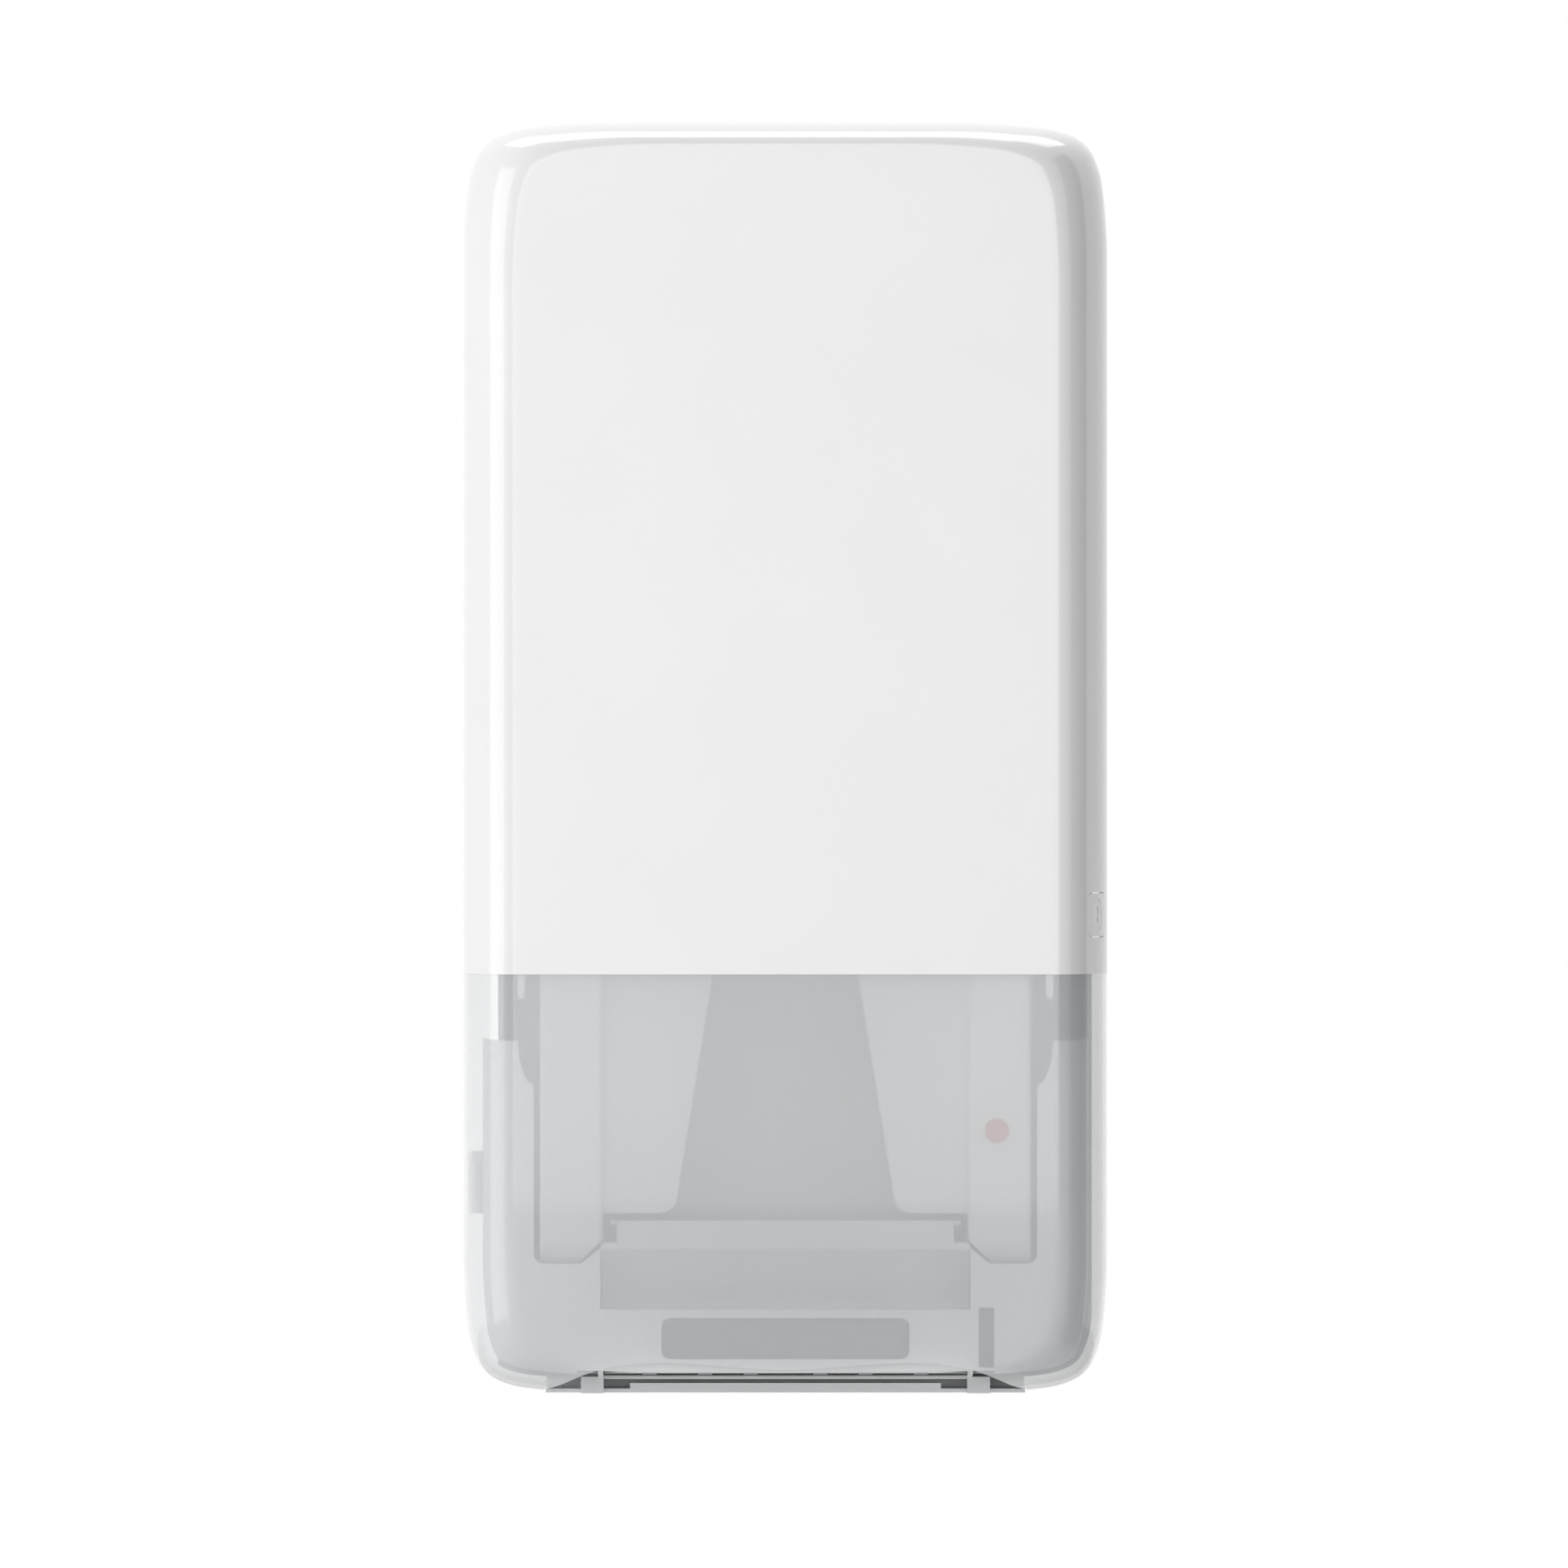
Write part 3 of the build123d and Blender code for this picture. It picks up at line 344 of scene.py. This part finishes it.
def part_of_case(name, keep_above):
    """The case's skin above or below the split, cut cleanly along the seam."""
    mesh = case_mesh(name)
    work = bmesh.new()
    work.from_mesh(mesh)
    bmesh.ops.bisect_plane(
        work,
        geom=work.verts[:] + work.edges[:] + work.faces[:],
        plane_co=(0, 0, SPLIT),
        plane_no=(0, 0, 1),
        clear_outer=not keep_above,
        clear_inner=keep_above,
    )
    bmesh.ops.recalc_face_normals(work, faces=work.faces)
    towards_user = sum(f.normal.dot(Vector((0, -1, 0))) * f.calc_area() for f in work.faces)
    if towards_user < 0:
        bmesh.ops.reverse_faces(work, faces=work.faces[:])
    work.to_mesh(mesh)
    work.free()
    piece = bpy.data.objects.new(name, mesh)
    bpy.context.scene.collection.objects.link(piece)
    return piece


def baked(piece):
    """Turns live modifiers into plain mesh, so that the piece is finished as it stands."""
    graph = bpy.context.evaluated_depsgraph_get()
    mesh = bpy.data.meshes.new_from_object(piece.evaluated_get(graph))
    piece.modifiers.clear()
    piece.data = tidy(mesh)
    return piece


def prism(name, outline, start, step):
    """Closed prism: an outline of 3-D points at start, and the same moved by step."""
    near = np.asarray(outline) + np.asarray(start)
    far = near + np.asarray(step)
    n = len(near)
    ring = np.arange(n)
    sides = np.stack([ring, np.roll(ring, -1), np.roll(ring, -1) + n, ring + n], axis=-1)
    mesh = bpy.data.meshes.new(name)
    faces = sides.tolist() + [ring[::-1].tolist(), (ring + n).tolist()]
    mesh.from_pydata(np.concatenate([near, far]).tolist(), [], faces)
    tidy(mesh)
    piece = bpy.data.objects.new(name, mesh)
    bpy.context.scene.collection.objects.link(piece)
    return piece


def cut(piece, cutter):
    """Takes the cutter's space out of the piece and removes the cutter."""
    knife = piece.modifiers.new("cut", "BOOLEAN")
    knife.operation, knife.solver, knife.object = "DIFFERENCE", "EXACT", cutter
    baked(piece)
    bpy.data.objects.remove(cutter)
    return piece


def walled(piece):
    """Gives the skin its wall, inwards from the outer face."""
    wall = piece.modifiers.new("wall", "SOLIDIFY")
    wall.thickness, wall.offset = WALL, -1
    return baked(piece)


print("outline points", len(loop(HALF_WIDE, HALF_HIGH)), "rings", len(case_rings()))

# %% [markdown]
# The two halves of the case get their 2.5 mm wall from Solidify. The upper one has a
# hole with round corners for the lock plate, cut square to the sloping side wall.

# %% White upper cover
TILT = np.radians(20)
LOCK_HIGH = 0.2756
HOLE_LONG, HOLE_HIGH, HOLE_CORNER = 0.0287, 0.0255, 0.00435
HOLE_REACH, HOLE_STEPS = 0.008, 10
TAB_X, TAB_HALF_WIDE, TAB_REACH, TAB_STEPS = 0.1504, 0.0021, 0.0119, 13
turn = np.arctan(EDGE_SIDE / (EDGE_DEPTH * np.tan(TILT)))
lock_at = np.array([
    HALF_WIDE - EDGE_SIDE + EDGE_SIDE * np.sin(turn),
    -(DEPTH - EDGE_DEPTH * (1 - np.cos(turn))),
    LOCK_HIGH - HALF_HIGH,
])
outward = np.array([np.cos(TILT), -np.sin(TILT), 0])
rearward = np.array([np.sin(TILT), np.cos(TILT), 0])
upward = np.array([0, 0, 1.0])


def round_rectangle(long, high, radius, across, up):
    """Corners as quarter circles, in the plane of two directions."""
    spots = []
    for i, (sx, sz) in enumerate(((1, 1), (-1, 1), (-1, -1), (1, -1))):
        angle = np.radians(np.linspace(90 * i, 90 * i + 90, HOLE_STEPS))
        x = sx * (long / 2 - radius) + radius * np.cos(angle)
        z = sz * (high / 2 - radius) + radius * np.sin(angle)
        spots.append(np.outer(x, across) + np.outer(z, up))
    return np.concatenate(spots)


upper = part_of_case("cover_shell_upper", True)
walled(upper)
hole = round_rectangle(HOLE_LONG, HOLE_HIGH, HOLE_CORNER, rearward, upward)
cut(upper, prism("lock_hole", hole, lock_at - HOLE_REACH * outward, 2 * HOLE_REACH * outward))


def tab(side):
    """Small upright tab behind the front wall: two half circles, one above and one below the seam."""
    angle = np.radians(np.concatenate([np.linspace(0, 180, TAB_STEPS), np.linspace(180, 360, TAB_STEPS)]))
    shift = np.repeat([TAB_REACH, -TAB_REACH], TAB_STEPS)
    x = side * TAB_X + TAB_HALF_WIDE * np.cos(angle)
    z = SPLIT + shift + TAB_HALF_WIDE * np.sin(angle)
    outline = np.column_stack([x, np.zeros_like(x), z])
    return prism("cover_tab", outline, (0, -(DEPTH - WALL), 0), (0, WALL, 0))


upper.data.materials.append(gloss_white)
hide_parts("cover_upper")
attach(upper, "cover")
for side in (-1, 1):
    hook = tab(side)
    hook.name = "cover_tab_left" if side < 0 else "cover_tab_right"
    hook.data.materials.append(gloss_white)
    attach(hook, "cover")
print("upper cover faces", len(upper.data.polygons))

# %% [markdown]
# The window ends in a low arch that leaves the outlet free. The arch starts almost level
# at its foot, climbs a step 20 mm wide, and then rises slowly to its crown. It is one
# smooth curve through three points, with its direction given at both ends.

# %% Clear window
ARCH_FOOT, ARCH_STEP, ARCH_CROWN = (0.139, 0.004), (0.119, 0.012), (0.0, 0.017)
FOOT_DIRECTION, CROWN_DIRECTION = (-1, 0.15), (-1.0, 0.0)
CUT_PAST = 0.02


def arch_curve(count=40):
    """Right half of the arch: two cubics through foot, step and crown, equally bent at the step."""
    spots = np.array([ARCH_FOOT, ARCH_STEP, ARCH_CROWN])
    chords = np.linalg.norm(np.diff(spots, axis=0), axis=1)
    first, second = chords
    start, end = np.array(FOOT_DIRECTION) / np.hypot(*FOOT_DIRECTION), np.array(CROWN_DIRECTION)
    slopes = np.diff(spots, axis=0) / chords[:, None]
    pull = 3 * (second * slopes[0] + first * slopes[1])
    middle = (pull - second * start - first * end) / (2 * (first + second))
    to_step = (spots[0], spots[1], start, middle, first)
    to_crown = (spots[1], spots[2], middle, end, second)
    curve = []
    for a, b, ta, tb, chord in (to_step, to_crown):
        t = np.linspace(0, 1, count, endpoint=False)[:, None]
        curve.append(
            (2 * t**3 - 3 * t**2 + 1) * a
            + (t**3 - 2 * t**2 + t) * chord * ta
            + (3 * t**2 - 2 * t**3) * b
            + (t**3 - t**2) * chord * tb
        )
    return np.concatenate(curve)


window = part_of_case("cover_shell_window", False)
walled(window)
right = arch_curve()
left = right[::-1] * np.array([-1, 1])
both = np.concatenate([right, np.array([ARCH_CROWN]), left])
edge = np.column_stack([both[:, 0], np.zeros(len(both)), both[:, 1] - HALF_HIGH])
low = -HALF_HIGH - CUT_PAST
below = np.array([[-ARCH_FOOT[0], 0, low], [ARCH_FOOT[0], 0, low]])
front = (0, -DEPTH - CUT_PAST / 2, 0)
cut(window, prism("arch_cut", np.concatenate([edge, below]), front, (0, DEPTH + CUT_PAST, 0)))
window.data.materials.append(window_clear)
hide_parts("cover_window")
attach(window, "cover")
print("window faces", len(window.data.polygons))

# %% [markdown]
# The pieces behind the window keep their shapes from the model. Each is given the
# plastic, rubber or metal that it is made of.

# %% Dress the other pieces
DRESS = {
    gloss_white: ["lock_plate", "lock_rotor", "cover_hinge_lower", "cover_hinge_upper"],
    satin_white: ["front_mask", "funnel_guide", "outlet_frame", "outlet_guide_bar"],
    rail_white: [
        "left_side_rail", "right_side_rail", "chute_floor", "button_ring", "hinge_bracket_lower",
        "hinge_bracket_upper", "latch_keeper",
    ],
    flap_white: ["left_flap", "right_flap"],
    tray_grey: ["back_plate"],
    grip_grey: ["grip_pan", "grip_latch"],
    tyre_light: ["rear_roller_tyres"],
    tyre_dark: ["front_roller_tyres"],
    wheel_grey: ["feed_wheel"],
    acetal: ["roller_bushes", "top_roller", "top_roller_bushes"],
    red_button: ["release_button"],
    drawn_steel: ["front_roller_shaft", "rear_roller_shaft", "top_roller_axle"],
    pin_steel: [
        "left_flap_pin", "right_flap_pin", "hinge_pin_lower", "hinge_pin_upper", "left_flap_spring",
        "right_flap_spring", "rail_screws", "mask_screws", "lock_cam",
    ],
    cast_zinc: ["lock_sleeve"],
}
for material, names in DRESS.items():
    for name in names:
        nodes[name].data.materials.clear()
        nodes[name].data.materials.append(material)
print("dressed", sum(len(names) for names in DRESS.values()), "pieces")

# %% [markdown]
# Behind the red button sits a short coil spring. The model's own spring keeps its
# length, so it is drawn again here as a tube along a helix.

# %% Button spring
TURN_STEPS, TUBE_STEPS = 24, 10


def coil(name, seat, radius, wire, turns, pitch):
    """Tube along a helix that climbs towards the user: a small circle is carried round
    the axis, square to the radius and the axis, and both ends are closed by a disc."""
    turn = np.linspace(0, 2 * np.pi * turns, TURN_STEPS * turns + 1)[:, None]
    around = np.linspace(0, 2 * np.pi, TUBE_STEPS, endpoint=False)[None, :]
    reach = radius + wire / 2 * np.cos(around)
    x = seat[0] + reach * np.cos(turn)
    z = seat[2] + reach * np.sin(turn)
    y = seat[1] - pitch * turn / (2 * np.pi) + wire / 2 * np.sin(around)
    points = np.stack([x, y, z], axis=-1).reshape(-1, 3)
    grid = np.arange(len(points)).reshape(len(turn), TUBE_STEPS)
    a, b = grid[:-1], grid[1:]
    quads = np.stack([a, np.roll(a, -1, 1), np.roll(b, -1, 1), b], axis=-1).reshape(-1, 4)
    mesh = bpy.data.meshes.new(name)
    ends = [grid[0][::-1].tolist(), grid[-1].tolist()]
    mesh.from_pydata(points.tolist(), [], quads.tolist() + ends)
    piece = bpy.data.objects.new(name, tidy(mesh))
    bpy.context.scene.collection.objects.link(piece)
    return piece


SPRING_SEAT, BUTTON_X, BUTTON_HIGH = -0.0815, 0.1204, 0.1527
WIRE, SPRING_RADIUS, SPRING_TURNS, SPRING_RISE = 0.0008, 0.0056, 3, 0.0041
seat = (BUTTON_X, SPRING_SEAT - WIRE, BUTTON_HIGH - HALF_HIGH)
spring = coil("button_coil", seat, SPRING_RADIUS, WIRE, SPRING_TURNS, SPRING_RISE / SPRING_TURNS)
spring.data.materials.append(pin_steel)
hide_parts("button_spring")
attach(spring, "frame")
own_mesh(spring)
print("spring faces", len(spring.data.polygons))

# %% [markdown]
# The photograph is a plain catalogue view, square to the front from about six metres,
# so lines hardly converge. The camera stands level, a little below the middle of the
# case, because the case sits a little high in the picture.

# %% Camera
PICTURE = 1932
CASE_PIXELS = 794.5
METRES_PER_PIXEL = 2 * HALF_WIDE / CASE_PIXELS
DISTANCE = 6.0
CENTRE_PIXEL = (967.75, 934.5)
SENSOR_MM = 36
FAR_CLIP = 60
camera = bpy.data.objects.new("camera", bpy.data.cameras.new("camera"))
bpy.context.scene.collection.objects.link(camera)
offset_x = (PICTURE / 2 - CENTRE_PIXEL[0]) * METRES_PER_PIXEL
offset_z = (CENTRE_PIXEL[1] - PICTURE / 2) * METRES_PER_PIXEL
camera.location = (offset_x, -DEPTH / 2 - DISTANCE, offset_z)
camera.rotation_euler = (np.radians(90), 0, 0)
camera.data.sensor_width = SENSOR_MM
camera.data.lens = SENSOR_MM * DISTANCE / (PICTURE * METRES_PER_PIXEL)
camera.data.clip_end = FAR_CLIP
bpy.context.scene.camera = camera
print("lens mm", round(camera.data.lens, 1))

# %% [markdown]
# Studio light: a tall soft box on the left draws the long white line down the left
# edge, one overhead draws the line along the top, and a dark card on the right gives
# the right edge its grey line. The room is white to the camera and to reflections, and
# dimmer as a light. The floor shows from above alone, so that it hides nothing from below.

# %% Lights, floor and room


def soft_box(name, place, aim, wide, high, power):
    """A rectangular lamp at a place, facing a point."""
    lamp = bpy.data.lights.new(name, "AREA")
    lamp.shape, lamp.size, lamp.size_y, lamp.energy = "RECTANGLE", wide, high, power
    thing = bpy.data.objects.new(name, lamp)
    bpy.context.scene.collection.objects.link(thing)
    thing.visible_camera = False
    thing.location = place
    thing.rotation_euler = (Vector(aim) - Vector(place)).to_track_quat("-Z", "Y").to_euler()
    return thing


soft_box("left_box", place=(-1.9, -0.62, 0.0), aim=(0, 0, 0), wide=1.5, high=2.6, power=21)
soft_box("front_box", place=(0.1, -4.2, 0.75), aim=(0, 0, 0), wide=3.2, high=2.4, power=50)
soft_box("top_box", place=(0, 0.55, 1.55), aim=(0, -0.05, 0.36), wide=1.8, high=0.8, power=12)


def stage_plane(name, corners, material):
    """One flat card or floor, which isn't part of the object."""
    mesh = bpy.data.meshes.new(name)
    mesh.from_pydata(corners, [], [(0, 1, 2, 3)])
    mesh.materials.append(material)
    thing = bpy.data.objects.new(name, mesh)
    bpy.context.scene.collection.objects.link(thing)
    return thing


FLOOR_WHITE = 0.85
# Matt floor paint: most of what the camera sees is plain white, the rest takes the shadow
floor_paint, tree, out = blank("floor_pale")
matte = add(tree, "ShaderNodeBsdfDiffuse", values={"Color": linear("#F2F2F2")})
glow = add(tree, "ShaderNodeEmission", values={"Color": (1, 1, 1, 1), "Strength": 1.0})
ray = add(tree, "ShaderNodeLightPath")
share = add(tree, "ShaderNodeMath", {0: ray.outputs["Is Camera Ray"]}, {1: FLOOR_WHITE}, operation="MULTIPLY")
paint = add(
    tree,
    "ShaderNodeMixShader",
    {0: share.outputs["Value"], 1: matte.outputs["BSDF"], 2: glow.outputs["Emission"]},
)
side_seen = add(tree, "ShaderNodeNewGeometry")
clear = add(tree, "ShaderNodeBsdfTransparent")
one_sided = add(
    tree,
    "ShaderNodeMixShader",
    {0: side_seen.outputs["Backfacing"], 1: paint.outputs["Shader"], 2: clear.outputs["BSDF"]},
)
tree.links.new(one_sided.outputs["Shader"], out.inputs["Surface"])
FLOOR, FLOOR_SIDE, FLOOR_FRONT, FLOOR_BACK = -0.62, 1.6, -1.6, 1.2
corners = [
    (-FLOOR_SIDE, FLOOR_FRONT, FLOOR),
    (FLOOR_SIDE, FLOOR_FRONT, FLOOR),
    (FLOOR_SIDE, FLOOR_BACK, FLOOR),
    (-FLOOR_SIDE, FLOOR_BACK, FLOOR),
]
stage_plane("floor", corners, floor_paint)

# Dark grey card, which only reflections and the light see
card_black, tree, out = blank("card_dark")
shade = add(tree, "ShaderNodeBsdfDiffuse", values={"Color": linear("#262626")})
tree.links.new(shade.outputs["BSDF"], out.inputs["Surface"])
CARD_X, CARD_FRONT, CARD_BACK, CARD_HALF_HIGH = 0.8, -0.42, 0.16, 1.0
corners = [
    (CARD_X, CARD_FRONT, -CARD_HALF_HIGH),
    (CARD_X, CARD_BACK, -CARD_HALF_HIGH),
    (CARD_X, CARD_BACK, CARD_HALF_HIGH),
    (CARD_X, CARD_FRONT, CARD_HALF_HIGH),
]
card = stage_plane("dark_card", corners, card_black)
card.visible_camera = False

ROOM_AS_LIGHT, ROOM_AS_SEEN = 0.46, 1.0
room = bpy.data.worlds.new("room")
room.use_nodes = True
tree = room.node_tree
tree.nodes.clear()
ray = add(tree, "ShaderNodeLightPath")
looks = {0: ray.outputs["Is Camera Ray"], 1: ray.outputs["Is Transmission Ray"]}
seen = add(tree, "ShaderNodeMath", looks, operation="MAXIMUM")
looks = {0: seen.outputs["Value"], 1: ray.outputs["Is Glossy Ray"]}
seen = add(tree, "ShaderNodeMath", looks, operation="MAXIMUM")
dim = add(tree, "ShaderNodeBackground", values={"Color": (1, 1, 1, 1), "Strength": ROOM_AS_LIGHT})
bright = add(tree, "ShaderNodeBackground", values={"Color": (1, 1, 1, 1), "Strength": ROOM_AS_SEEN})
both = add(
    tree,
    "ShaderNodeMixShader",
    {0: seen.outputs["Value"], 1: dim.outputs["Background"], 2: bright.outputs["Background"]},
)
add(tree, "ShaderNodeOutputWorld", {"Surface": both.outputs["Shader"]})
bpy.context.scene.world = room
bpy.context.scene.view_settings.view_transform = "Standard"
print("lamps", len(bpy.data.lights))
